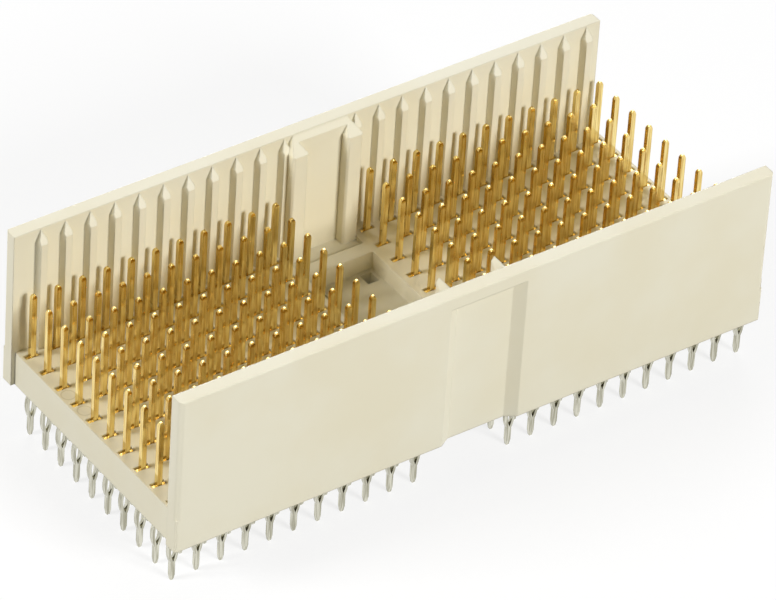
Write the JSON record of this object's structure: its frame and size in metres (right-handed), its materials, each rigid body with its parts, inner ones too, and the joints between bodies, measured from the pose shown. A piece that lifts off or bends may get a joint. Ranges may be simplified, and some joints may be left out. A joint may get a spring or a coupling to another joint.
{
  "type": "backplane connector",
  "caption": "Male backplane header: open-ended ivory U-shaped housing with ribbed walls and a keyed centre bay, holding blocks of gold-plated press-fit pins on a fine grid.",
  "frame": {"origin": "centre of the contact field on the housing's flat underside, where it seats on the printed board", "axes": "+X along the connector's length and its contact columns' pitch, +Y across the rows towards the wall with the shallow guide ribs, +Z out of the board along the pins"},
  "size_m": [0.0499, 0.022, 0.0172],
  "materials": {
    "housing": "satin moulded ivory thermoplastic",
    "contacts": "stamped copper alloy, gold plated blade and tin plated tail"
  },
  "bodies": {
    "root": {"housing": "housing", "contacts_column_01": "contacts", "contacts_column_02": "contacts", "contacts_column_03": "contacts", "contacts_column_04": "contacts", "contacts_column_05": "contacts", "contacts_column_06": "contacts", "contacts_column_07": "contacts", "contacts_column_08": "contacts", "contacts_column_09": "contacts", "contacts_column_10": "contacts", "contacts_column_11": "contacts", "contacts_column_15": "contacts", "contacts_column_16": "contacts", "contacts_column_17": "contacts", "contacts_column_18": "contacts", "contacts_column_19": "contacts", "contacts_column_20": "contacts", "contacts_column_21": "contacts", "contacts_column_22": "contacts", "contacts_column_23": "contacts", "contacts_column_24": "contacts", "contacts_column_25": "contacts"}
  },
  "joints": []
}
